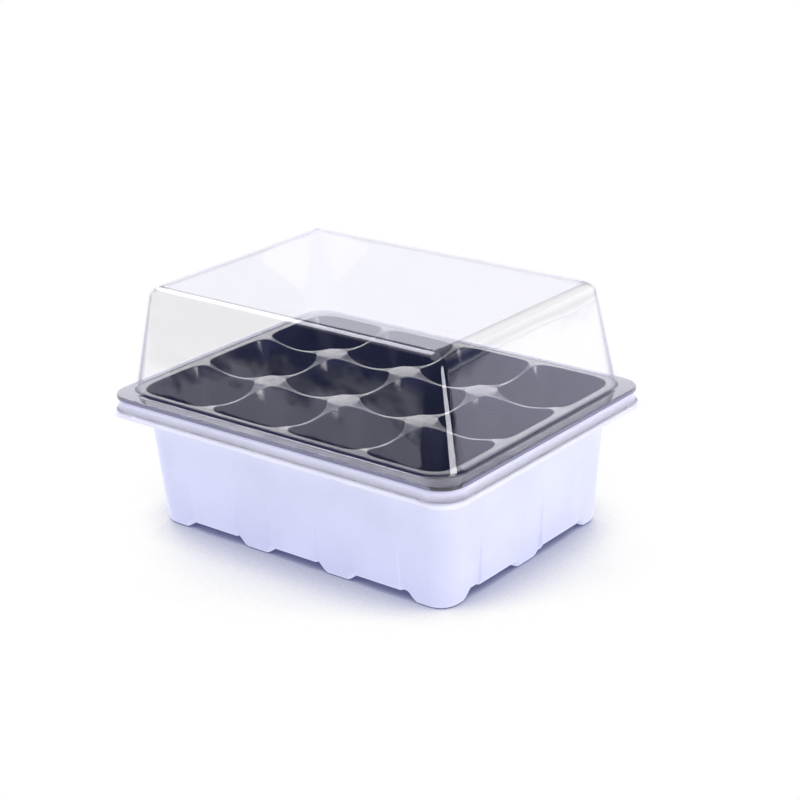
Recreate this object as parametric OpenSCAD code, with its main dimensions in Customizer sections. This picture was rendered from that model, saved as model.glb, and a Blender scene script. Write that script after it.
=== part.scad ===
// Seed starting kit: a white base tray, a black tray of open cells that hangs in it, and a clear
// humidity dome that stands on the cell tray's flange. Each is one vacuum-formed sheet.
// Frame: X along the long side, Y along the short side, Z up, origin under the middle of the feet.

/* [Kit] */
// Length over the base tray's lip
kit_length = 190; // [170:1:230]
// Width over the base tray's lip
kit_width = 145; // [130:1:180]
// Height from the feet to the top of the dome
kit_height = 110; // [95:1:150]

/* [Base tray] */
// Thickness of the white sheet
base_sheet = 0.7; // [0.5:0.1:1]
// Height of the flat top of the rim
rim_top = 61.4; // [55:0.1:65]
// Drop from the top of the rim to the underside of the trimmed lip
skirt_drop = 8.1; // [5:0.1:9]
// Height of the step where the upper band meets the main wall
step_height = 47.4; // [44:0.1:48]
// Inset of the main wall from the lip, just under the step, on the long and the short side
wall_inset = [10.4, 11.2]; // [9:0.1:11.2]
// Inward lean of the main wall, in mm per mm of height
wall_lean = 0.09; // [0.06:0.01:0.11]
// How far the feet reach below the raised floor
foot_drop = 4.3; // [3:0.1:5]
// Half width of a foot where it meets the raised floor
foot_half = 10.2; // [9:0.1:12]
// How far a foot's sides slope inward, in mm per mm of height
foot_lean = 0.9; // [0.3:0.1:1]
// Distance from one foot to the next, along the length and the width
foot_pitch = [45.4, 43.6]; // [40:0.1:46]
// Length and width of a corner foot, from the wall inward
corner_foot = [20.5, 17.5]; // [14:0.5:24]
// Half width of a wall panel between two feet, on the long and the short side
panel_half = [12.5, 13.7]; // [10:0.1:14]
// How far the wall panels between the feet stand out at the floor
panel_bulge = 1.2; // [0.8:0.1:1.5]
// Height at which the panels run into the wall
panel_top = 32; // [20:1:40]

/* [Cell tray] */
// Thickness of the black sheet
cell_sheet = 0.6; // [0.4:0.1:0.8]
// Cells along the length
cells_long = 4; // [3:1:5]
// Cells along the width
cells_wide = 3; // [2:1:4]
// Distance from one cell to the next
cell_pitch = 42.2; // [40:0.1:42.2]
// Width of the web between two cells
web_width = 1; // [0.9:0.1:2]
// Half width of a cell's bottom
cup_bottom_half = 10.4; // [9:0.1:10.5]
// Height of the underside of the cells
cup_bottom = 6.6; // [6.6:0.1:12]
// Diameter of the drain hole in each cell
drain_hole = 7; // [5:0.5:10]

/* [Dome] */
// Thickness of the clear sheet
dome_sheet = 0.6; // [0.3:0.1:0.8]
// Inward lean of the dome's walls, in mm per mm of height
dome_lean = 0.21; // [0.1:0.01:0.25]
// Radius of the rounded edge around the dome's top
dome_edge_radius = 5.5; // [4:0.5:8]

/* [Hidden] */
CUPS = [for (col = [1:cells_long], row = [1:cells_wide]) [col, row]];
$fn = 64;
hull_fn = 32;
cut = 1;

lip_half = [kit_length, kit_width] / 2;
lip_radius = 10;
flange_half = lip_half - [1, 1];
flange_radius = 12;
flange_top = rim_top + cell_sheet;

// Base tray: the corner circles keep their centres and their radius grows with height.
wall_radius = 13.5;
wall_centre = lip_half - wall_inset - [wall_radius, wall_radius];
band_radius = wall_radius + 1.2;
band_top_radius = wall_radius + 3;
skirt_top_half = flange_half - [1.1, 1.1];
foot_radius = 7;
foot_reach = 5;
floor_top = foot_drop + base_sheet;

// Cell tray: the cells stand on a low plateau inside the flange.
plateau_rise = 1.4;
plateau_top = flange_top + plateau_rise;
cell_half = (cell_pitch - web_width) / 2;
cells_half = [cells_long, cells_wide] * cell_pitch / 2 - [web_width, web_width] / 2;
plateau_border = [3.4, 2];
plateau_half = cells_half + plateau_border;
plateau_radius = 12.5;
round_corner = 13.5;
rim_corner = 5;
cup_corner = 5;
cup_top = plateau_top - cell_sheet;
edge_drop = 0.8;

// Dome: it stands on the flange, just outside the plateau. Its corner circles keep their centres.
dome_foot = flange_top + dome_sheet;
dome_gap = 0.9;
dome_foot_half = plateau_half + [dome_gap + dome_sheet, dome_gap + dome_sheet];
dome_wall_top = kit_height - dome_edge_radius;
dome_foot_radius = dome_edge_radius + dome_lean * (dome_wall_top - dome_foot);
dome_centre = dome_foot_half - [dome_foot_radius, dome_foot_radius];

function cup_name(cup) = str("cell_cup_", cup[0], "_", cup[1]);
function cell_place(cup) = [
    (cup[0] - (cells_long + 1) / 2) * cell_pitch,
    (cup[1] - (cells_wide + 1) / 2) * cell_pitch
];
// Side of the tray that a cell lies on, along one axis: -1, 0 or 1.
function outer_side(index, count) = index == 1 ? -1 : index == count ? 1 : 0;
// Corner radius of a cell's mouth: small where two cells meet at the tray's border.
function mouth_radius(cup, corner) =
    (corner[0] == outer_side(cup[0], cells_long)) == (corner[1] == outer_side(cup[1], cells_wide))
        ? round_corner : rim_corner;
// Half size of the main wall's outside at a height, along one axis.
function wall_face(axis, z) = wall_centre[axis] + wall_radius - wall_lean * (step_height - z);
// Middle and half length of a foot along one axis, where it meets the raised floor.
function foot_span(axis, index, count) = let(
    side = outer_side(index, count),
    inner = wall_face(axis, foot_drop) - corner_foot[axis],
    outer = wall_face(axis, foot_drop) + foot_reach
) side == 0
    ? [(index - (count + 1) / 2) * foot_pitch[axis], foot_half]
    : [side * (inner + outer) / 2, (outer - inner) / 2];
CORNERS = [[1, 1], [-1, 1], [-1, -1], [1, -1]];

// Rectangle with four equal round corners, given by half its size.
module rounded_rect(half, radius) {
    square([2 * half[0], 2 * (half[1] - radius)], center = true);
    square([2 * (half[0] - radius), 2 * half[1]], center = true);
    for (corner = CORNERS)
        translate([corner[0] * (half[0] - radius), corner[1] * (half[1] - radius)])
            circle(radius);
}

// Flat plate or straight block with round corners, from z0 up to z1.
module rounded_block(half, radius, z0, z1) {
    translate([0, 0, z0])
        linear_extrude(z1 - z0)
            rounded_rect(half, radius);
}

// Block whose corner circles stay put while their radius goes from r0 at z0 to r1 at z1.
module drafted_block(centre, r0, r1, z0, z1) {
    side_x = [[-centre[0] - r0, z0], [centre[0] + r0, z0], [centre[0] + r1, z1], [-centre[0] - r1, z1]];
    side_y = [[-centre[1] - r0, z0], [centre[1] + r0, z0], [centre[1] + r1, z1], [-centre[1] - r1, z1]];
    rotate([90, 0, 0])
        linear_extrude(2 * centre[1], center = true)
            polygon(side_x);
    rotate([90, 0, 90])
        linear_extrude(2 * centre[0], center = true)
            polygon(side_y);
    for (corner = CORNERS)
        translate([corner[0] * centre[0], corner[1] * centre[1], z0])
            cylinder(h = z1 - z0, r1 = r0, r2 = r1);
}

// Main wall from the floor's height down or up, drawn in by the given sheet thickness.
module wall_block(shrink, z0, z1) {
    lean_back = wall_lean * shrink;
    drafted_block(
        wall_centre,
        wall_radius - wall_lean * (step_height - z0) - shrink + lean_back,
        wall_radius - wall_lean * (step_height - z1) - shrink + lean_back,
        z0, z1
    );
}

// One foot, reaching past the wall on the outer sides of the tray.
module foot(cup, shrink) {
    radius = foot_radius - shrink;
    counts = [cells_long, cells_wide];
    spans = [for (axis = [0, 1]) foot_span(axis, cup[axis], counts[axis])];
    translate([spans[0][0], spans[1][0], 0])
        drafted_block(
            [spans[0][1] - foot_radius, spans[1][1] - foot_radius],
            radius - foot_lean * foot_drop, radius, shrink, foot_drop + shrink
        );
}

module feet(shrink) {
    intersection() {
        wall_block(shrink, shrink, foot_drop + shrink);
        for (cup = CUPS)
            foot(cup, shrink);
    }
}

// Wall panels between the feet, standing out more and more towards the floor.
module panels(axis, count, shrink) {
    z0 = foot_drop + (shrink > 0 ? shrink - cut : 0);
    face0 = wall_face(axis, z0) + panel_bulge - shrink;
    face1 = wall_face(axis, panel_top) - shrink;
    root = wall_face(axis, z0) - wall_radius / 2;
    for (side = [0, 180], index = [1:count - 1])
        rotate([0, 0, side + 90 * (1 - axis)])
            translate([(index - count / 2) * foot_pitch[1 - axis], 0, 0])
                rotate([90, 0, 90])
                    linear_extrude(2 * (panel_half[1 - axis] - shrink), center = true)
                        polygon([[root, z0], [face0, z0], [face1, panel_top], [root, panel_top]]);
}

// Everything of the base tray below the step, as a solid.
module base_body() {
    wall_block(0, foot_drop, step_height);
    panels(1, cells_long, 0);
    panels(0, cells_wide, 0);
    feet(0);
}

// Whole length and width of the tray between two heights.
module slab(z0, z1) {
    translate([-lip_half[0], -lip_half[1], z0])
        cube([kit_length, kit_width, z1 - z0]);
}

// Floor of the base tray with its hollow feet.
module base_floor() {
    color("#e2e3fa")
        difference() {
            intersection() {
                base_body();
                slab(-cut, floor_top);
            }
            feet(base_sheet);
        }
}

// Walls of the base tray, from the floor up to the step.
module base_walls() {
    color("#e2e3fa")
        difference() {
            intersection() {
                base_body();
                slab(floor_top, step_height);
            }
            wall_block(base_sheet, floor_top - cut, step_height + cut);
            panels(1, cells_long, base_sheet);
            panels(0, cells_wide, base_sheet);
        }
}

// Skirt and lip around the base tray's rim.
module base_skirt() {
    lip_z = rim_top - skirt_drop;
    skirt_centre = skirt_top_half - [flange_radius, flange_radius];
    skirt_r0 = flange_radius + 1.4;
    difference() {
        union() {
            rounded_block(skirt_top_half, flange_radius, rim_top - base_sheet, rim_top);
            drafted_block(skirt_centre, skirt_r0, flange_radius, lip_z, rim_top);
            rounded_block(lip_half, lip_radius, lip_z, lip_z + base_sheet);
        }
        drafted_block(
            skirt_centre, skirt_r0 - base_sheet, flange_radius - base_sheet,
            lip_z - cut / 10, rim_top - base_sheet
        );
    }
}

// Step, upper band and turned-down rim of the base tray.
module base_rim() {
    color("#e2e3fa")
        difference() {
            union() {
                drafted_block(wall_centre, band_radius, band_top_radius, step_height, rim_top - base_sheet);
                base_skirt();
            }
            drafted_block(
                wall_centre, band_radius - base_sheet, band_top_radius - base_sheet,
                step_height + base_sheet, rim_top + cut
            );
            wall_block(base_sheet, step_height - cut, step_height + base_sheet + cut / 10);
        }
}

// Mouth of one cell, with its own radius at each corner.
module cell_mouth(cup) {
    difference() {
        square(2 * cell_half, center = true);
        for (corner = CORNERS) {
            r = mouth_radius(cup, corner);
            translate([corner[0] * cell_half, corner[1] * cell_half])
                square(2 * r, center = true);
        }
    }
    for (corner = CORNERS) {
        r = mouth_radius(cup, corner);
        translate([corner[0] * (cell_half - r), corner[1] * (cell_half - r)])
            circle(r);
    }
}

// Flange, riser and the web between the cells.
module cell_tray_rim() {
    color("#17181f") {
        difference() {
            rounded_block(flange_half, flange_radius, rim_top - edge_drop, flange_top);
            rounded_block(flange_half - [cell_sheet, cell_sheet], flange_radius - cell_sheet,
                rim_top - edge_drop - cut, rim_top);
            rounded_block(plateau_half - [cell_sheet, cell_sheet], plateau_radius - cell_sheet,
                rim_top - cut, flange_top + cut);
        }
        difference() {
            rounded_block(plateau_half, plateau_radius, rim_top, plateau_top);
            rounded_block(plateau_half - [cell_sheet, cell_sheet], plateau_radius - cell_sheet,
                rim_top - cut, cup_top);
            translate([0, 0, cup_top - cut])
                linear_extrude(cell_sheet + 2 * cut)
                    for (cup = CUPS)
                        translate(cell_place(cup))
                            cell_mouth(cup);
        }
    }
}

// Solid that tapers from a cell's mouth to its small square bottom.
module cup_solid(cup, shrink, z0, z1) {
    mouth = cell_half + cell_sheet * 0.8 - shrink;
    bottom = cup_bottom_half - shrink;
    hull()
        for (corner = CORNERS) {
            r = mouth_radius(cup, corner) - shrink;
            rb = cup_corner - shrink;
            translate([corner[0] * (mouth - r), corner[1] * (mouth - r), z1 - 0.01])
                cylinder(h = 0.01, r = r, $fn = hull_fn);
            translate([corner[0] * (bottom - rb), corner[1] * (bottom - rb), z0])
                cylinder(h = 0.01, r = rb, $fn = hull_fn);
        }
}

module cell_cup(cup) {
    color("#17181f")
        translate([cell_place(cup)[0], cell_place(cup)[1], 0])
            difference() {
                cup_solid(cup, 0, cup_bottom, cup_top);
                cup_solid(cup, cell_sheet * 0.8, cup_bottom + cell_sheet, cup_top + 0.1);
                translate([0, 0, cup_bottom - cut])
                    cylinder(h = cell_sheet + 2 * cut, d = drain_hole);
            }
}

// Dome shape drawn in by the given amount: leaning walls under a top with a rounded edge.
module dome_solid(shrink, foot_z) {
    edge = dome_edge_radius - shrink;
    drafted_block(dome_centre, dome_foot_radius - shrink, edge, foot_z, dome_wall_top);
    for (corner = CORNERS)
        translate([corner[0] * dome_centre[0], corner[1] * dome_centre[1], dome_wall_top])
            sphere(edge);
    for (side = [-1, 1]) {
        translate([0, side * dome_centre[1], dome_wall_top])
            rotate([0, 90, 0])
                cylinder(h = 2 * dome_centre[0], r = edge, center = true);
        translate([side * dome_centre[0], 0, dome_wall_top])
            rotate([90, 0, 0])
                cylinder(h = 2 * dome_centre[1], r = edge, center = true);
    }
    translate([-dome_centre[0], -dome_centre[1], dome_wall_top - edge])
        cube([2 * dome_centre[0], 2 * dome_centre[1], 2 * edge]);
}

module humidity_dome() {
    color("#dfe6f5", 0.35)
        difference() {
            union() {
                rounded_block(flange_half, flange_radius, flange_top, dome_foot);
                dome_solid(0, dome_foot);
            }
            dome_solid(dome_sheet, dome_foot);
            rounded_block(dome_foot_half - [dome_sheet, dome_sheet], dome_foot_radius - dome_sheet,
                flange_top - cut, dome_foot);
        }
}

base_rim();
base_walls();
base_floor();
cell_tray_rim();
for (cup = CUPS)
    cell_cup(cup);
humidity_dome();
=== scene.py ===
import math

import bpy
import numpy as np
from mathutils import Matrix, Vector
from mathutils.geometry import delaunay_2d_cdt


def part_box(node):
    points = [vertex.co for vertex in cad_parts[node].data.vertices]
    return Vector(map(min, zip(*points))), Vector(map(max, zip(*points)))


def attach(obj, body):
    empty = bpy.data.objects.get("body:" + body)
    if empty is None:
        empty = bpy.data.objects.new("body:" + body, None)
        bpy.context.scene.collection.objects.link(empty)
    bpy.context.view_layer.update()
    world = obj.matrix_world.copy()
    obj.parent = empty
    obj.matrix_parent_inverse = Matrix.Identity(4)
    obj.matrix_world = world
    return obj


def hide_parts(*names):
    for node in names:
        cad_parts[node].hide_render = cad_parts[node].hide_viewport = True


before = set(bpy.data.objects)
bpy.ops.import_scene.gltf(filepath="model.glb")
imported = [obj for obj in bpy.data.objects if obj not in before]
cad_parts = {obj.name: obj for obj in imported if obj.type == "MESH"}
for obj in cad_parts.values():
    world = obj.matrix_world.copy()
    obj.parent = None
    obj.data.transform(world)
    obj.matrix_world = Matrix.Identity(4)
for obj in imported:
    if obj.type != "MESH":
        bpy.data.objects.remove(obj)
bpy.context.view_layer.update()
MM = 0.001


def box_mm(node):
    """Lowest and highest corner of a CAD node, in millimetres."""
    low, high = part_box(node)
    return [v / MM for v in low], [v / MM for v in high]


# Sizes in millimetres, read from the frame where a node shows them.
RIM_LOW, RIM_HIGH = box_mm("base_rim")
FLOOR_HIGH = box_mm("base_floor")[1]
CELL_LOW, CELL_HIGH = box_mm("cell_tray_rim")
CUP_LOW = box_mm("cell_cup_1_1")[0]
DOME_LOW, DOME_HIGH = box_mm("humidity_dome")

# Base tray. A pair is (along the length, along the width) or (half length, height), and a lean is
# mm per mm of height. The skirt runs from the lip's bend up to the rim, FLOOR_INSET is where the
# wall's turn into the floor ends, and a corner foot runs on past the wall by PAST_WALL.
BASE_SHEET = 0.7
STEP_Z = RIM_LOW[2]
RIM_TOP = RIM_HIGH[2]
LIP = (RIM_HIGH[0], RIM_HIGH[1])
FLOOR_Z = FLOOR_HIGH[2] - BASE_SHEET
WALL_RADIUS = 13.5
WALL_SETBACK = (10.4, 11.2)
WALL_CENTRE = tuple(LIP[k] - WALL_SETBACK[k] - WALL_RADIUS for k in (0, 1))
WALL_LEAN = 0.09
WALL_START = 3.0
SKIRT_DROP = 8.1
LIP_INSIDE = 94.3
LIP_BEND_Z = 53.8
SKIRT_FOOT = (93.5, 55.4)
SKIRT_TOP = 92.1
FLOOR_INSET = 4.8
FLOOR_BEND = 2.2
FOOT_BEND = 0.5
FOOT_SLOPE = 5.0
FOOT_PITCH = (45.4, 43.6)
FOOT_HALF = 10.2
FOOT_RADIUS = 7.0
CORNER_FOOT = (20.5, 17.5)
PAST_WALL = 20
PANEL_HALF = (12.5, 13.7)
PANEL_BULGE = 1.3
PANEL_EDGE = 1.0
PANEL_TOP = 32.0

# Cell tray. The visible sheet is a little thinner than the CAD's, so that stacked sheets never
# share a face. A web's dip fades out WEB_REACH away from its middle line, over WEB_FADE, and ends
# WEB_HALF along it from the middle.
CELL_SHEET = 0.6
CELL_SHEET_SEEN = 0.5
FLANGE = (CELL_HIGH[0], CELL_HIGH[1])
FLANGE_TOP = RIM_TOP + CELL_SHEET
FLANGE_CORNER = 12
PLATEAU_TOP = CELL_HIGH[2]
PLATEAU = (87.3, 64.8)
PLATEAU_RADIUS = 12.5
PLATEAU_STRAIGHT = (82, 59.5)
COLUMNS, ROWS = 4, 3
CELL_PITCH = 42.2
CELL_HALF = 20.35
MOUTH_ROUNDING = 0.28
WEB_SAG = 2.5
WEB_REACH = 7.0
WEB_FADE = 4.0
WEB_HALF = 16.5
WEB_POWER = 1.3
CUP_FLOOR = CUP_LOW[2] + CELL_SHEET
CUP_FLOOR_HALF = 9.9
CUP_FLOOR_ROUNDING = 2.5
CUP_FLOOR_POWER = 4.5
DRAIN_RADIUS = 3.5
DRAIN_EDGE = 0.5

# Dome. Its visible sheet is thinner than the CAD's for the same reason.
DOME_SHEET = 0.6
DOME_SHEET_SEEN = 0.45
DOME_FOOT = DOME_LOW[2] + DOME_SHEET
DOME_TOP = DOME_HIGH[2]
DOME_CENTRE = (74.5, 52.0)
DOME_FOOT_RADIUS = 14.3
DOME_FOOT_BEND = 1.3
DOME_TOP_BEND = 6.2
DOME_LEAN = 0.21
DOME_CROP = 2.5

# Camera: place in metres, line of sight, roll in degrees, focal length and sensor width in mm.
CAMERA_PLACE = (0.50483, -0.60548, 0.36156)
CAMERA_FORWARD = (-0.58727, 0.72429, -0.36127)
CAMERA_ROLL = -1.877
CAMERA_LENS = 87.05
CAMERA_SENSOR = 36.0

# Studio floor: a disc of this radius, in metres, with this many sides.
STAGE_RADIUS = 1.6
STAGE_SIDES = 96


# ---------------------------------------------------------------- camera
def camera_axes():
    """The camera's place, its line of sight, and its right and up after the roll."""
    place = Vector(CAMERA_PLACE)
    forward = Vector(CAMERA_FORWARD).normalized()
    right = forward.cross(Vector((0, 0, 1))).normalized()
    up = right.cross(forward)
    roll = math.radians(CAMERA_ROLL)
    tilted_right = right * math.cos(roll) + up * math.sin(roll)
    tilted_up = up * math.cos(roll) - right * math.sin(roll)
    return place, forward, tilted_right, tilted_up


def make_camera():
    """Makes the scene's camera. It has no shift and no depth of field."""
    place, forward, right, up = camera_axes()
    data = bpy.data.cameras.new("camera")
    data.sensor_width = CAMERA_SENSOR
    data.lens = CAMERA_LENS
    data.clip_start = 0.01
    data.clip_end = 50
    obj = bpy.data.objects.new("camera", data)
    rotation = Matrix((right, up, -forward)).transposed()
    obj.matrix_world = Matrix.Translation(place) @ rotation.to_4x4()
    bpy.context.scene.collection.objects.link(obj)
    bpy.context.scene.camera = obj


# ---------------------------------------------------------------- mesh helpers
def smooth(t):
    """0 to 1 with no slope at either end."""
    t = np.clip(t, 0.0, 1.0)
    return t * t * (3 - 2 * t)


def fillet_path(points, steps=5):
    """Points (h, z) of a line with rounded corners, from a list of (h, z, corner radius)."""
    out = [np.array(points[0][:2])]
    for before, here, after in zip(points, points[1:], points[2:]):
        p = np.array(here[:2])
        a = np.array(before[:2]) - p
        b = np.array(after[:2]) - p
        a = a / np.linalg.norm(a)
        b = b / np.linalg.norm(b)
        radius = here[2]
        half = math.acos(float(np.clip(a @ b, -1, 1))) / 2
        reach = radius / math.tan(half)
        middle = (a + b) / np.linalg.norm(a + b) * (radius / math.sin(half)) + p
        start = p + a * reach - middle
        end = p + b * reach - middle
        sweep = math.pi - 2 * half
        turn = math.copysign(1, start[0] * end[1] - start[1] * end[0])
        for k in range(steps + 1):
            angle = turn * sweep * k / steps
            c, s = math.cos(angle), math.sin(angle)
            out.append(middle + [c * start[0] - s * start[1], s * start[0] + c * start[1]])
    out.append(np.array(points[-1][:2]))
    return out


def inset(size, amount):
    """A pair of half sizes, each smaller by amount."""
    return (size[0] - amount, size[1] - amount)


def centre_at(h, table):
    """Corner circle's centre for a half length h, from a table of (h, centre)."""
    lengths = [row[0] for row in table]
    return [float(np.interp(h, lengths, [row[1][k] for row in table])) for k in (0, 1)]


def stations(side_x, side_y, arc):
    """Stations round a rectangle with round corners, as (share x, share y, normal x, normal y).

    side_x and side_y are the places along the straight sides, as shares from -1 to 1 of the
    corner circle's centre. arc is the number of steps round a corner.
    """
    out = []
    quarter = [math.pi / 2 * k / arc for k in range(1, arc)]
    for u in side_y:
        out.append((1, u, 1, 0))
    for a in quarter:
        out.append((1, 1, math.cos(a), math.sin(a)))
    for u in side_x[::-1]:
        out.append((u, 1, 0, 1))
    for a in quarter:
        out.append((-1, 1, -math.sin(a), math.cos(a)))
    for u in side_y[::-1]:
        out.append((-1, u, -1, 0))
    for a in quarter:
        out.append((-1, -1, -math.cos(a), -math.sin(a)))
    for u in side_x:
        out.append((u, -1, 0, -1))
    for a in quarter:
        out.append((1, -1, math.sin(a), -math.cos(a)))
    return np.array(out, float)


def ring(st, centre, radius, z):
    """One loop of points. radius and z may change from station to station."""
    radius = np.broadcast_to(radius, len(st))
    z = np.broadcast_to(z, len(st))
    x = st[:, 0] * centre[0] + st[:, 2] * radius
    y = st[:, 1] * centre[1] + st[:, 3] * radius
    return np.stack([x, y, z], 1)


class Skin:
    """Collects loops and patches of one sheet, in millimetres."""

    def __init__(self):
        self.points = []
        self.faces = []

    def add(self, loop):
        """Adds points and returns their indices."""
        first = len(self.points)
        self.points.extend([tuple(p) for p in loop])
        return list(range(first, len(self.points)))

    def join(self, a, b):
        """Joins two closed loops of equal length with a strip of faces."""
        n = len(a)
        for i in range(n):
            j = (i + 1) % n
            self.faces.append((a[i], a[j], b[j], b[i]))

    def sweep(self, loops):
        """Adds loops one after another and joins them. Returns the last loop's indices."""
        last = self.add(loops[0])
        for loop in loops[1:]:
            here = self.add(loop)
            self.join(last, here)
            last = here
        return last

    def build(self, name, thickness, flip=False):
        """Makes the object and thickens it against the side its faces look to."""
        mesh = bpy.data.meshes.new(name)
        faces = [f[::-1] for f in self.faces] if flip else self.faces
        mesh.from_pydata([Vector(p) * MM for p in self.points], [], faces)
        mesh.validate()
        mesh.shade_smooth()
        obj = bpy.data.objects.new(name, mesh)
        bpy.context.scene.collection.objects.link(obj)
        solid = obj.modifiers.new("sheet", "SOLIDIFY")
        solid.thickness = thickness * MM
        solid.offset = -1
        solid.use_even_offset = True
        solid.use_rim = True
        return obj


def patch(skin, outline, extra, holes, height, keep):
    """Fills the region inside a loop with upward triangles.

    outline and each loop in holes are lists of point indices, extra is a list of further (x, y)
    points, height(x, y) gives their z, and keep(x, y) says which triangles stay.
    """
    fixed = list(outline)
    for loop in holes:
        fixed.extend(loop)
    where = {k: i for i, k in enumerate(fixed)}
    coords = [Vector(skin.points[k][:2]) for k in fixed] + [Vector(p) for p in extra]
    lines = []
    for loop in [outline] + list(holes):
        ids = [where[k] for k in loop]
        lines.extend(zip(ids, ids[1:] + ids[:1]))
    face = [where[k] for k in outline]
    verts, _, tris, originals, _, _ = delaunay_2d_cdt(coords, lines, [face], 1, 1e-5)
    names = []
    for i, v in enumerate(verts):
        source = [k for k in originals[i] if k < len(fixed)]
        if source:
            names.append(fixed[source[0]])
        else:
            names.append(skin.add([(v[0], v[1], height(v[0], v[1]))])[0])
    for tri in tris:
        middle = sum((Vector(verts[k]) for k in tri), Vector((0, 0))) / 3
        if keep(middle[0], middle[1]):
            a, b, c = (Vector(verts[k]) for k in tri)
            turn = (b[0] - a[0]) * (c[1] - a[1]) - (b[1] - a[1]) * (c[0] - a[0])
            ids = [names[k] for k in tri]
            skin.faces.append(tuple(ids if turn > 0 else ids[::-1]))


def side_places(limit, marks, spacing):
    """Places from -limit to limit, with all the marks and no gap wider than spacing."""
    fixed = sorted({round(m, 3) for m in marks if abs(m) < limit} | {-limit, limit})
    out = [fixed[0]]
    for a, b in zip(fixed, fixed[1:]):
        n = max(1, math.ceil((b - a) / spacing - 1e-6))
        out.extend(a + (b - a) * k / n for k in range(1, n + 1))
    return out


# ---------------------------------------------------------------- base tray
# Corner circle's centre for a loop whose half length is the first number.
BASE_CENTRES = (
    (88.8, WALL_CENTRE),
    (92.2, inset(LIP, 14.1)),
    (93.5, inset(LIP, 13.2)),
    (94.3, inset(LIP, 10.5)),
)


def outer_side(index, count):
    """-1 or 1 for the first or last of a row, 0 for the others."""
    return -1 if index == 0 else 1 if index == count - 1 else 0


def foot_span(axis, index, count):
    """Middle and half length of a foot along one axis, where it meets the raised floor."""
    side = outer_side(index, count)
    if side:
        face = WALL_CENTRE[axis] + WALL_RADIUS - WALL_LEAN * (STEP_Z - FLOOR_Z)
        inner, outer = face - CORNER_FOOT[axis], face + PAST_WALL
        return side * (inner + outer) / 2, (outer - inner) / 2
    return (index - (count - 1) / 2) * FOOT_PITCH[axis], FOOT_HALF


def foot_depth(x, y):
    """How far below the raised floor the sheet is at x, y, from 0 to 1."""
    depth = 0.0
    for c in range(COLUMNS):
        for r in range(ROWS):
            mid_x, half_x = foot_span(0, c, COLUMNS)
            mid_y, half_y = foot_span(1, r, ROWS)
            dx = abs(x - mid_x) - (half_x - FOOT_RADIUS)
            dy = abs(y - mid_y) - (half_y - FOOT_RADIUS)
            outside = math.hypot(max(dx, 0), max(dy, 0)) + min(max(dx, dy), 0) - FOOT_RADIUS
            depth = max(depth, float(smooth(-outside / FOOT_SLOPE)))
    return depth


def panel_edges(axis, count):
    """Both ends of every wall panel along one axis."""
    edges = []
    for k in range(1, count):
        middle = (k - count / 2) * FOOT_PITCH[axis]
        edges.append((middle - PANEL_HALF[axis], middle + PANEL_HALF[axis]))
    return edges


def panel_share(along, axis, count):
    """1 on a wall panel between two feet, 0 on a foot's column."""
    share = 0.0
    for low, high in panel_edges(axis, count):
        inside = min(along - low, high - along)
        share = max(share, float(smooth(0.5 + inside / PANEL_EDGE)))
    return share


def base_marks():
    """Places along both axes that the creases of panels and the flanks of feet need."""
    marks = ([], [])
    for axis, count in ((0, COLUMNS), (1, ROWS)):
        for pair in panel_edges(axis, count):
            for edge in pair:
                marks[axis].extend(edge + PANEL_EDGE * step / 6 for step in range(-3, 4))
        for k in range(count):
            middle, half = foot_span(axis, k, count)
            for side in (-1, 1):
                marks[axis].extend(
                    middle + side * (half - FOOT_SLOPE * step / 5) for step in range(6)
                )
    return marks


def base_profile(wall_h):
    """Inner surface from the trimmed lip up the skirt, over the rim and down to the wall."""
    rim_z = RIM_TOP - BASE_SHEET
    return fillet_path(
        [
            (LIP_INSIDE + 0.02, RIM_TOP - SKIRT_DROP, 0),  # trimmed lip
            (LIP_INSIDE, LIP_BEND_Z, 0.25),  # end of the turned edge
            (*SKIRT_FOOT, 0.3),
            (SKIRT_TOP, rim_z, 0.4),  # outer edge of the rim
            (wall_h + 3, rim_z, 0.6),  # inner edge of the rim
            (wall_h + 1.2, STEP_Z, 0.5),  # foot of the band
            (wall_h + 0.05, STEP_Z, 0.3),  # end of the step
            (wall_h - 0.07, STEP_Z - 1.4, 0),  # top of the wall
        ]
    )


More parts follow.
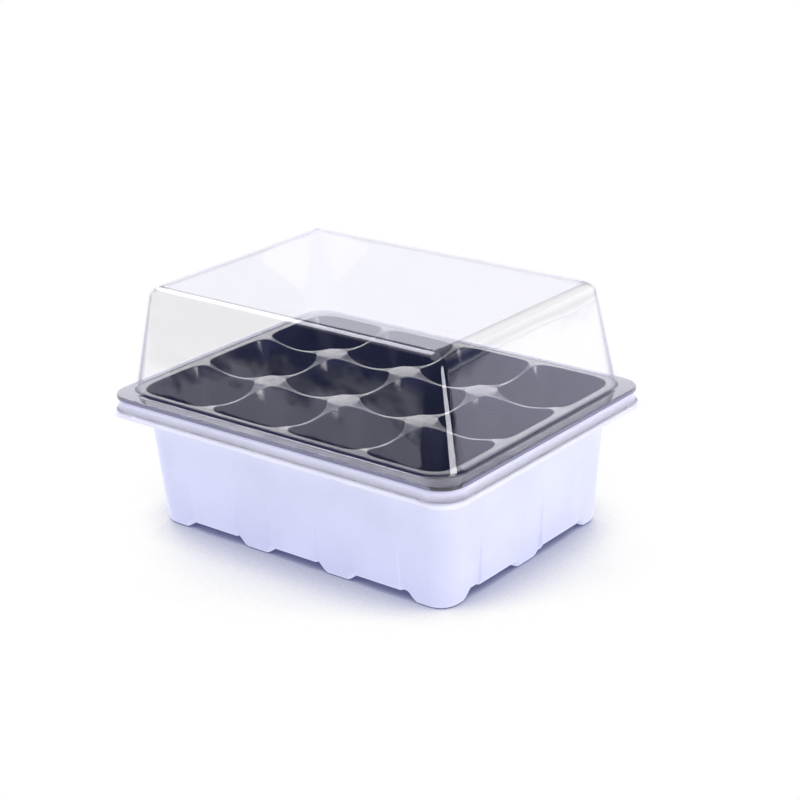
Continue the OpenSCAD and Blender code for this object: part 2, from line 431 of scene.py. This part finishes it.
def make_base():
    """The white tray: rim, skirt, wall with panels, and floor with feet, as one sheet."""
    marks = base_marks()
    places_x = side_places(WALL_CENTRE[0], marks[0], 4.0)
    places_y = side_places(WALL_CENTRE[1], marks[1], 4.0)
    st = stations(
        [p / WALL_CENTRE[0] for p in places_x], [p / WALL_CENTRE[1] for p in places_y], 16
    )
    panel = np.zeros(len(st))
    for k, (share_x, share_y, normal_x, normal_y) in enumerate(st):
        if abs(normal_y) == 1:
            panel[k] = panel_share(share_x * WALL_CENTRE[0], 0, COLUMNS)
        elif abs(normal_x) == 1:
            panel[k] = panel_share(share_y * WALL_CENTRE[1], 1, ROWS)

    loops = []
    for h, z in base_profile(WALL_CENTRE[0] + WALL_RADIUS):
        centre = centre_at(h, BASE_CENTRES)
        loops.append(ring(st, centre, h - centre[0], z))

    # Main wall, with panels that stand out more and more towards the floor.
    foot_radius = WALL_RADIUS - WALL_LEAN * STEP_Z
    inner = ring(st, WALL_CENTRE, foot_radius - FLOOR_INSET, 0)
    depth = np.array([foot_depth(p[0], p[1]) for p in inner])
    bottom = FLOOR_Z * (1 - depth)
    bend = FLOOR_BEND + FOOT_BEND * depth
    top = STEP_Z - WALL_START
    rows = 18
    for k in range(rows + 1):
        z = top + (bottom + bend - top) * k / rows
        bulge = PANEL_BULGE * panel * np.clip((PANEL_TOP - z) / (PANEL_TOP - FLOOR_Z), 0, 1)
        radius = WALL_RADIUS - WALL_LEAN * (STEP_Z - z) + bulge
        loops.append(ring(st, WALL_CENTRE, radius, z))
    # Rounded turn from the wall into the floor.
    steps = 6
    for k in range(1, steps + 1):
        angle = math.pi / 2 * k / steps
        in_by = bend * (1 - math.cos(angle))
        up_by = bend * (1 - math.sin(angle))
        loops.append(ring(st, WALL_CENTRE, radius - in_by, bottom + up_by))
    inner[:, 2] = bottom
    skin = Skin()
    loops.append(inner)
    last = skin.sweep(loops)

    # Floor and feet, on a grid with one more row just inside each edge.
    hx, hy = (v + foot_radius - FLOOR_INSET for v in WALL_CENTRE)
    edge = 1.6
    grid = []
    for x in places_x:
        for y in places_y:
            if abs(x) < hx - 1 and abs(y) < hy - 1:
                grid.append((x, y))
    grid += [(x, y) for x in places_x for y in (hy - edge, edge - hy)]
    grid += [(x, y) for y in places_y for x in (hx - edge, edge - hx)]
    patch(
        skin, last, grid, [], lambda x, y: FLOOR_Z * (1 - foot_depth(x, y)), lambda x, y: True
    )
    return skin.build("base_tray_sheet", BASE_SHEET, flip=True)


# ---------------------------------------------------------------- cell tray
POINTS_PER_QUARTER = 14


def superellipse(powers):
    """Loop of half size 1 with its own power in each quarter, even along its length."""
    out = []
    for quarter, power in enumerate(powers):
        t = np.linspace(0, math.pi / 2, 400)
        x = np.cos(t) ** (2 / power)
        y = np.sin(t) ** (2 / power)
        s = np.concatenate([[0], np.cumsum(np.hypot(np.diff(x), np.diff(y)))])
        want = np.linspace(0, s[-1], POINTS_PER_QUARTER + 1)[:-1]
        x = np.interp(want, s, x)
        y = np.interp(want, s, y)
        c, k = [(1, 0), (0, 1), (-1, 0), (0, -1)][quarter]
        out.append(np.stack([c * x - k * y, k * x + c * y], 1))
    return np.concatenate(out)


def mouth_powers(col, row):
    """Powers of a cell's mouth: round where four cells meet, squarer along the border."""
    powers = []
    for sx, sy in ((1, 1), (-1, 1), (-1, -1), (1, -1)):
        borders = (sx == outer_side(col, COLUMNS)) + (sy == outer_side(row, ROWS))
        powers.append((3.0, 6.5, 4.2)[borders])
    return powers


# Corner circle's centre for a loop whose half length is the first number.
CELL_CENTRES = (
    (88.2, inset(PLATEAU, PLATEAU_RADIUS)),
    (92.5, inset(FLANGE, FLANGE_CORNER)),
)


def web_sag(x, y):
    """How far the web between two cells dips below the plateau."""
    deepest = 0.0
    for axis, counts, across, along in (
        (0, (COLUMNS, ROWS), x, y),
        (1, (ROWS, COLUMNS), y, x),
    ):
        for k in range(1, counts[0]):
            line = (k - counts[0] / 2) * CELL_PITCH
            near = float(smooth((WEB_REACH - abs(across - line)) / WEB_FADE))
            for m in range(counts[1]):
                middle = (m - (counts[1] - 1) / 2) * CELL_PITCH
                share = 1 - ((along - middle) / WEB_HALF) ** 2
                deepest = max(deepest, near * share)
    return WEB_SAG * max(deepest, 0.0) ** WEB_POWER


def level(outline, size, z, middle):
    """An outline scaled by size and moved to middle, at height z."""
    return np.column_stack([outline * size + middle, np.broadcast_to(z, len(outline))])


def cell_loops(middle, powers):
    """Loops of one cell, from its mouth down the cup to its drain hole."""
    mouth = superellipse(powers)
    bottom = superellipse([CUP_FLOOR_POWER] * 4)
    dip = np.array([web_sag(*p) for p in mouth * CELL_HALF + middle])

    loops = [level(mouth, CELL_HALF + MOUTH_ROUNDING + 0.08, PLATEAU_TOP - dip, middle)]
    for k in range(5):
        angle = math.pi / 2 * k / 4
        size = CELL_HALF + MOUTH_ROUNDING * (1 - math.sin(angle))
        z = PLATEAU_TOP - MOUTH_ROUNDING * (1 - math.cos(angle)) - dip
        loops.append(level(mouth, size, z, middle))

    high = PLATEAU_TOP - MOUTH_ROUNDING
    low = CUP_FLOOR + CUP_FLOOR_ROUNDING
    for share in (0.03, 0.08, 0.15, 0.25, 0.4, 0.6, 0.8, 1.0):
        plan = mouth * CELL_HALF * (1 - share) + bottom * CUP_FLOOR_HALF * share
        z = high + (low - high) * share - dip * (1 - share) ** 3
        loops.append(level(plan, 1, z, middle))

    for k in range(1, 5):
        angle = math.pi / 2 * k / 4
        size = CUP_FLOOR_HALF - CUP_FLOOR_ROUNDING * (1 - math.cos(angle))
        z = CUP_FLOOR + CUP_FLOOR_ROUNDING * (1 - math.sin(angle))
        loops.append(level(bottom, size, z, middle))
    around = np.arctan2(bottom[:, 1], bottom[:, 0])
    circle = np.stack([np.cos(around), np.sin(around)], 1)
    loops.append(level(circle, DRAIN_RADIUS + DRAIN_EDGE, CUP_FLOOR, middle))
    loops.append(level(circle, DRAIN_RADIUS, CUP_FLOOR, middle))
    return loops


def make_cells():
    """The black tray: flange, plateau with webs, and twelve cups, as one sheet."""
    limit_x, limit_y = PLATEAU_STRAIGHT
    places_x = side_places(limit_x, [], 6.0)
    places_y = side_places(limit_y, [], 6.0)
    st = stations([p / limit_x for p in places_x], [p / limit_y for p in places_y], 14)
    profile = fillet_path(
        [
            (FLANGE[0], CELL_LOW[2], 0),  # trimmed edge
            (FLANGE[0], FLANGE_TOP, 0.5),
            (PLATEAU[0] + 0.3, FLANGE_TOP, 0.35),  # foot of the riser
            (PLATEAU[0], PLATEAU_TOP, 0.45),
            (PLATEAU[0] - 1.2, PLATEAU_TOP, 0),  # border of the webs
        ]
    )
    loops = []
    for h, z in profile:
        centre = centre_at(h, CELL_CENTRES)
        loops.append(ring(st, centre, h - centre[0], z))
    skin = Skin()
    outline = skin.sweep(loops)

    mouths = []
    cells = []
    for col in range(COLUMNS):
        for row in range(ROWS):
            middle = np.array(
                [
                    (col - (COLUMNS - 1) / 2) * CELL_PITCH,
                    (row - (ROWS - 1) / 2) * CELL_PITCH,
                ]
            )
            powers = mouth_powers(col, row)
            cells.append((middle, powers))
            first = len(skin.points)
            skin.sweep(cell_loops(middle, powers))
            mouths.append(list(range(first, first + 4 * POINTS_PER_QUARTER)))

    mouth_half = CELL_HALF + MOUTH_ROUNDING

    def on_web(x, y):
        for middle, powers in cells:
            dx, dy = x - middle[0], y - middle[1]
            quarter = 0 if dx >= 0 and dy >= 0 else 1 if dy >= 0 else 2 if dx < 0 else 3
            n = powers[quarter]
            if (abs(dx) / mouth_half) ** n + (abs(dy) / mouth_half) ** n < 1:
                return False
        return True

    patch(skin, outline, [], mouths, lambda x, y: PLATEAU_TOP - web_sag(x, y), on_web)
    return skin.build("cell_tray_sheet", CELL_SHEET_SEEN)


# ---------------------------------------------------------------- dome
# Corner circle's centre for a loop whose half length is the first number.
DOME_CENTRES = (
    (90.5, DOME_CENTRE),
    (93.0, inset(FLANGE, FLANGE_CORNER)),
)


def make_dome():
    """The clear dome: flange, leaning walls and flat top, as one sheet."""
    places_x = side_places(DOME_CENTRE[0], [], 5.0)
    places_y = side_places(DOME_CENTRE[1], [], 5.0)
    st = stations(
        [p / DOME_CENTRE[0] for p in places_x], [p / DOME_CENTRE[1] for p in places_y], 20
    )
    foot_h = DOME_CENTRE[0] + DOME_FOOT_RADIUS
    top_h = foot_h - DOME_LEAN * (DOME_TOP - DOME_FOOT)
    profile = fillet_path(
        [
            (FLANGE[0], DOME_FOOT - DOME_SHEET_SEEN + 0.05, 0),  # trimmed edge
            (FLANGE[0], DOME_FOOT, 0.35),
            (foot_h, DOME_FOOT, DOME_FOOT_BEND),
            (top_h, DOME_TOP, DOME_TOP_BEND),
            (DOME_CENTRE[0] - DOME_CROP, DOME_TOP, 0),
        ],
        steps=8,
    )
    wall_rows, longest_step = 12, 10
    loops = []
    before = None
    for h, z in profile:
        # The leaning wall is one long step, so it is cut into rows.
        if before is not None and z - before[1] > longest_step:
            for k in range(1, wall_rows):
                part = before + (np.array([h, z]) - before) * k / wall_rows
                centre = centre_at(part[0], DOME_CENTRES)
                loops.append(ring(st, centre, part[0] - centre[0], part[1]))
        centre = centre_at(h, DOME_CENTRES)
        loops.append(ring(st, centre, max(h - centre[0], -DOME_CROP), z))
        before = np.array([h, z])
    skin = Skin()
    # The last loops lie inside the corner circles, so they are plain rectangles.
    outline = skin.sweep(loops[:-1])
    hx, hy = inset(DOME_CENTRE, 2)
    xs = np.linspace(-hx, hx, 26)
    ys = np.linspace(-hy, hy, 20)
    grid = [(x, y) for x in xs for y in ys]
    patch(skin, outline, grid, [], lambda x, y: DOME_TOP, lambda x, y: True)
    return skin.build("dome_sheet", DOME_SHEET_SEEN)


# ---------------------------------------------------------------- materials
class Nodes:
    """Short ways to add nodes to one node tree."""

    def __init__(self, tree):
        self.tree = tree
        tree.nodes.clear()

    def new(self, kind, **sockets):
        """Adds a node. Its sockets are named with _ for a space."""
        node = self.tree.nodes.new(kind)
        for name, value in sockets.items():
            self.set(node, name.replace("_", " "), value)
        return node

    def put(self, socket, value):
        """Links a socket to the value, or sets it."""
        if isinstance(value, bpy.types.NodeSocket):
            self.tree.links.new(value, socket)
        else:
            socket.default_value = value

    def set(self, node, name, value):
        """Links or sets the socket called name."""
        self.put(node.inputs[name], value)

    def link(self, a, b):
        self.tree.links.new(a, b)

    def maths(self, operation, a, b=0.0, clamp=False):
        """Result of a maths node on a and b."""
        node = self.tree.nodes.new("ShaderNodeMath")
        node.operation = operation
        node.use_clamp = clamp
        for k, value in enumerate((a, b)):
            self.put(node.inputs[k], value)
        return node.outputs[0]

    def dot(self, a, vector):
        """Dot product of a linked vector and a fixed one."""
        node = self.tree.nodes.new("ShaderNodeVectorMath")
        node.operation = "DOT_PRODUCT"
        self.put(node.inputs[0], a)
        node.inputs[1].default_value = vector
        return node.outputs["Value"]

    def ramp(self, value, low, high, to_low=0.0, to_high=1.0):
        """Soft step from to_low, where value is low, to to_high, where it is high."""
        node = self.tree.nodes.new("ShaderNodeMapRange")
        node.interpolation_type = "SMOOTHSTEP"
        node.clamp = True
        self.put(node.inputs["Value"], value)
        for name, limit in (
            ("From Min", low),
            ("From Max", high),
            ("To Min", to_low),
            ("To Max", to_high),
        ):
            node.inputs[name].default_value = limit
        return node.outputs[0]

    def mix(self, share, a, b):
        """Colour a where share is 0 and colour b where it is 1."""
        node = self.tree.nodes.new("ShaderNodeMix")
        node.data_type = "RGBA"
        share_in, a_in, b_in = node.inputs[0], node.inputs[6], node.inputs[7]
        self.put(share_in, share)
        for socket, value in ((a_in, a), (b_in, b)):
            if isinstance(value, tuple):
                value = (*value, 1.0)
            self.put(socket, value)
        return node.outputs[2]

    def noise(self, place, scale, detail=3.0, rough=0.5):
        """Noise from 0 to 1, with scale features per metre."""
        node = self.tree.nodes.new("ShaderNodeTexNoise")
        self.tree.links.new(place, node.inputs["Vector"])
        node.inputs["Scale"].default_value = scale
        node.inputs["Detail"].default_value = detail
        node.inputs["Roughness"].default_value = rough
        return node.outputs["Fac"]

    def bump(self, height, distance, strength=1.0, normal=None):
        """Normal of a relief that is distance metres high, on top of another normal."""
        node = self.tree.nodes.new("ShaderNodeBump")
        node.inputs["Strength"].default_value = strength
        node.inputs["Distance"].default_value = distance
        self.tree.links.new(height, node.inputs["Height"])
        if normal is not None:
            self.tree.links.new(normal, node.inputs["Normal"])
        return node.outputs[0]

    def finish(self, kind, shader):
        """Links a shader node to a new output node."""
        self.tree.links.new(shader.outputs[0], self.new(kind).inputs["Surface"])


def new_material(name):
    """A material, its nodes and the socket with places on the object, in metres."""
    mat = bpy.data.materials.new(name)
    mat.use_nodes = True
    n = Nodes(mat.node_tree)
    return mat, n, n.new("ShaderNodeTexCoord").outputs["Object"]


def white_plastic():
    """Opaque white sheet with painted light: painted shade makes it darker lavender towards the
    floor, the trimmed lip has a painted highlight, and the skirt and rim are painted lighter.
    """
    # Base colours with painted light: painted shade on the lower wall, a painted highlight on the
    # lip, painted light on the skirt and rim.
    shaded_wall_foot, lit_wall_top = (0.78, 0.79, 0.955), (0.85, 0.87, 0.975)
    lip, rim = (0.95, 0.95, 1.0), (0.90, 0.90, 1.0)
    mat, n, place = new_material("white_plastic")
    shader = n.new("ShaderNodeBsdfPrincipled", IOR=1.5)
    broad = n.noise(place, 28, 4)
    fine = n.noise(place, 700, 2)
    split = n.new("ShaderNodeSeparateXYZ")
    n.link(place, split.inputs[0])
    height = split.outputs["Z"]
    # Painted shade: the wall's colour darkens towards the floor.
    colour = n.mix(n.ramp(height, 0.0, 0.048), shaded_wall_foot, lit_wall_top)
    # Painted highlight: the strip of the turned lip is painted near white.
    colour = n.mix(n.ramp(height, 0.0525, 0.0535), colour, lip)
    # Painted light: the skirt and rim are painted lighter to offset the shade under the flange.
    colour = n.mix(n.ramp(height, 0.0551, 0.0556), colour, rim)
    uneven = n.new("ShaderNodeVectorMath")
    uneven.operation = "SCALE"
    n.link(colour, uneven.inputs[0])
    n.set(uneven, "Scale", n.ramp(broad, 0.35, 0.65, 0.97, 1.03))
    n.set(shader, "Base Color", uneven.outputs[0])
    n.set(shader, "Roughness", n.ramp(n.noise(place, 90, 3), 0.3, 0.7, 0.30, 0.42))
    wave = n.bump(broad, 0.0006, 0.5)
    n.set(shader, "Normal", n.bump(fine, 0.00008, 0.6, wave))
    n.finish("ShaderNodeOutputMaterial", shader)
    return mat


def black_plastic():
    """Glossy black sheet with specks of dust and a painted sheen of paler lavender on its trimmed
    edge.
    """
    darkest, dark = (0.006, 0.006, 0.009), (0.012, 0.012, 0.016)
    # The trimmed edge's paler lavender is painted sheen. The specks are dust.
    trimmed, speck = (0.16, 0.155, 0.24), (0.35, 0.34, 0.36)
    sheen_edge_width = 0.35
    mat, n, place = new_material("black_plastic")
    shader = n.new("ShaderNodeBsdfPrincipled", IOR=1.85)
    dust = n.ramp(n.noise(place, 1100, 1, 0.4), 0.80, 0.84)
    broad = n.noise(place, 45, 3)
    colour = n.mix(n.ramp(broad, 0.3, 0.7), darkest, dark)
    split = n.new("ShaderNodeSeparateXYZ")
    n.link(place, split.inputs[0])
    # Painted sheen: paler lavender in a thin band along the flange's trimmed edge.
    past = [
        n.maths("SUBTRACT", n.maths("ABSOLUTE", split.outputs[axis]), (half - sheen_edge_width) * MM)
        for axis, half in zip("XY", FLANGE)
    ]
    sheen_edge_mask = n.ramp(n.maths("MAXIMUM", *past), -0.0001, 0.0001)
    colour = n.mix(sheen_edge_mask, colour, trimmed)
    n.set(shader, "Base Color", n.mix(dust, colour, speck))
    n.set(shader, "Roughness", n.ramp(n.noise(place, 160, 3), 0.3, 0.7, 0.15, 0.26))
    wave = n.bump(broad, 0.0006, 0.6)
    n.set(shader, "Normal", n.bump(n.noise(place, 420, 2), 0.00006, 0.5, wave))
    n.finish("ShaderNodeOutputMaterial", shader)
    return mat


def clear_plastic():
    """A sheet that reflects once where light enters it and lets the rest through."""
    straight, slanted, grazing = (1.0, 0.999, 1.0), (0.825, 0.823, 0.832), (0.97, 0.968, 0.976)
    strongest = 0.20
    mat, n, place = new_material("clear_plastic")
    wave = n.bump(n.noise(place, 22, 2), 0.0009, 0.6)
    ripple = n.bump(n.noise(place, 120, 1), 0.00008, 0.6, wave)
    leaving = n.new("ShaderNodeNewGeometry").outputs["Backfacing"]
    fresnel = n.new("ShaderNodeFresnel", IOR=1.46)
    n.link(wave, fresnel.inputs["Normal"])
    one = fresnel.outputs[0]
    # Both faces of the sheet together reflect 2f / (1 + f), and less where it is seen edge on.
    both = n.maths("DIVIDE", n.maths("MULTIPLY", one, 2.0), n.maths("ADD", one, 1.0))
    slant = n.new("ShaderNodeLayerWeight").outputs["Facing"]
    weaker = n.ramp(slant, 0.75, 0.95, 1.0, 0.5)
    both = n.maths("MULTIPLY", n.maths("MINIMUM", both, strongest), weaker)
    share = n.maths("MULTIPLY", both, n.maths("SUBTRACT", 1.0, leaving), clamp=True)
    veil = n.mix(n.ramp(slant, 0.42, 0.66), straight, slanted)
    veil = n.mix(n.ramp(slant, 0.70, 0.92), veil, grazing)
    clear = n.new("ShaderNodeBsdfTransparent", Color=veil)
    gloss = n.new("ShaderNodeBsdfGlossy", Color=(0.88, 0.88, 1, 1))
    n.set(gloss, "Roughness", n.ramp(n.noise(place, 120, 3), 0.3, 0.7, 0.03, 0.07))
    n.link(ripple, gloss.inputs["Normal"])
    mixed = n.new("ShaderNodeMixShader")
    n.link(share, mixed.inputs[0])
    n.link(clear.outputs[0], mixed.inputs[1])
    n.link(gloss.outputs[0], mixed.inputs[2])
    n.finish("ShaderNodeOutputMaterial", mixed)
    return mat


def floor_material():
    """White sweep that only darkens, to lavender, where the object shades it.

    Reflections see it brighter towards the right, then dark beyond the studio's edge.
    """
    deep_shade, shade, white = (0.09, 0.10, 0.22), (0.52, 0.54, 0.74), (1.0, 1.0, 1.0)
    beyond, reflected, bounced = (0.2, 0.22, 0.38), (0.97, 0.97, 1.16), (1.0, 1.0, 1.1)
    mat, n, place = new_material("studio_floor")
    shading = n.new("ShaderNodeAmbientOcclusion", Distance=0.16)
    shading.samples = 8
    opening = shading.outputs["AO"]
    path = n.new("ShaderNodeLightPath")
    glossy, diffuse = path.outputs["Is Glossy Ray"], path.outputs["Is Diffuse Ray"]
    across = n.dot(place, camera_axes()[2])
    colour = n.mix(n.ramp(opening, 0.10, 0.50), deep_shade, shade)
    colour = n.mix(n.ramp(opening, 0.40, 0.64), colour, white)
    colour = n.mix(n.maths("MULTIPLY", n.ramp(across, 1.0, 1.5), glossy), colour, beyond)
    colour = n.mix(n.maths("MULTIPLY", diffuse, 0.7), colour, bounced)
    inside = n.maths("MULTIPLY", glossy, n.ramp(across, 1.5, 1.0))
    colour = n.mix(n.maths("MULTIPLY", inside, 0.7), colour, reflected)
    brighter = n.maths("SUBTRACT", n.ramp(across, 0.0, 0.7, 1.36, 1.9), 1.0)
    brighter = n.maths("MULTIPLY", glossy, brighter)
    light = n.new("ShaderNodeEmission", Color=colour, Strength=n.maths("ADD", brighter, 1.0))
    n.finish("ShaderNodeOutputMaterial", light)
    return mat


# ---------------------------------------------------------------- studio
def make_floor():
    """A round floor, which isn't part of the object."""
    mesh = bpy.data.meshes.new("studio_floor")
    turns = [2 * math.pi * k / STAGE_SIDES for k in range(STAGE_SIDES)]
    rim = [(STAGE_RADIUS * math.cos(a), STAGE_RADIUS * math.sin(a), 0) for a in turns]
    mesh.from_pydata(rim, [], [tuple(range(STAGE_SIDES))])
    obj = bpy.data.objects.new("studio_floor", mesh)
    bpy.context.scene.collection.objects.link(obj)
    obj.data.materials.append(floor_material())


def make_world():
    """Studio light by direction: bright wall behind, soft light above, dim room in front."""
    place = camera_axes()[0]
    front = Vector((place[0], place[1], 0)).normalized()
    right = Vector((-front[1], front[0], 0))
    world = bpy.data.worlds.new("studio")
    bpy.context.scene.world = world
    world.use_nodes = True
    n = Nodes(world.node_tree)
    direction = n.new("ShaderNodeTexCoord").outputs["Generated"]
    path = n.new("ShaderNodeLightPath")
    diffuse = path.outputs["Is Diffuse Ray"]
    high = n.dot(direction, (0, 0, 1))
    back = n.dot(direction, -front)
    to_right = n.dot(direction, right)

    # Dim room in front and bright wall behind, which diffuse rays see dimmer, most so on the right.
    room = n.mix(diffuse, (0.16, 0.19, 0.42), (0.31, 0.33, 0.52))
    band = n.maths("MULTIPLY", n.ramp(high, 0.05, 0.2), n.ramp(high, 0.53, 0.44))
    rightward = n.ramp(to_right, 0.0, 0.8)
    soft = n.mix(rightward, (0.85, 0.85, 0.9), (0.42, 0.44, 0.52))
    plain = n.mix(n.maths("MULTIPLY", rightward, diffuse), (0.7, 0.7, 0.77), (0.4, 0.42, 0.5))
    wall = n.mix(band, plain, n.mix(diffuse, (2.4, 2.4, 2.42), soft))
    colour = n.mix(n.ramp(back, 0.05, 0.5), room, wall)

    # Soft light above, and a pale ground beyond the floor's edge.
    colour = n.mix(n.ramp(high, 0.68, 0.88), colour, (1.7, 1.7, 1.75))
    ground = n.mix(n.ramp(to_right, 0.2, 0.9), (1.1, 1.1, 1.15), (1.5, 1.5, 1.55))
    colour = n.mix(n.ramp(high, -0.03, -0.06), colour, ground)

    # Strip light low in front on the right, which draws the line on the dome's near corner.
    angle = math.radians(47)
    strip_to = front * math.cos(angle) + right * math.sin(angle)
    strip_side = Vector((-strip_to[1], strip_to[0], 0))
    strip = n.ramp(n.maths("ABSOLUTE", n.dot(direction, strip_side)), 0.22, 0.17)
    strip = n.maths("MULTIPLY", strip, n.ramp(n.dot(direction, strip_to), 0.3, 0.5))
    strip = n.maths("MULTIPLY", strip, n.ramp(high, 0.15, 0.09))
    colour = n.mix(strip, colour, (8.5, 8.3, 8.1))

    # Small softbox high on the left, which draws the bright line along the dome's front edge.
    softbox_to = Vector((-0.60, 0.17, 0.78)).normalized()
    softbox = n.ramp(n.dot(direction, softbox_to), 0.962, 0.985)
    softbox = n.maths("MULTIPLY", softbox, n.maths("SUBTRACT", 1.0, diffuse))
    colour = n.mix(softbox, colour, (6.5, 6.5, 6.6))

    strength = n.ramp(diffuse, 0, 1, 1.0, 1.25)
    light = n.new("ShaderNodeBackground", Color=colour, Strength=strength)
    seen = n.new("ShaderNodeBackground", Color=(1.0, 1.0, 1.0, 1), Strength=1.0)
    mixed = n.new("ShaderNodeMixShader")
    n.link(path.outputs["Is Camera Ray"], mixed.inputs[0])
    n.link(light.outputs[0], mixed.inputs[1])
    n.link(seen.outputs[0], mixed.inputs[2])
    n.finish("ShaderNodeOutputWorld", mixed)


# ---------------------------------------------------------------- assembly
make_camera()
make_world()
make_floor()

base = make_base()
base.data.materials.append(white_plastic())
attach(base, "base")
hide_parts("base_rim", "base_walls", "base_floor")

cells = make_cells()
cells.data.materials.append(black_plastic())
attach(cells, "cell_tray")
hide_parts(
    "cell_tray_rim",
    *[f"cell_cup_{c}_{r}" for c in range(1, COLUMNS + 1) for r in range(1, ROWS + 1)],
)

dome = make_dome()
dome.data.materials.append(clear_plastic())
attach(dome, "dome")
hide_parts("humidity_dome")

scene = bpy.context.scene
scene.view_settings.view_transform = "Standard"
scene.view_settings.look = "None"
scene.cycles.transparent_max_bounces = 32
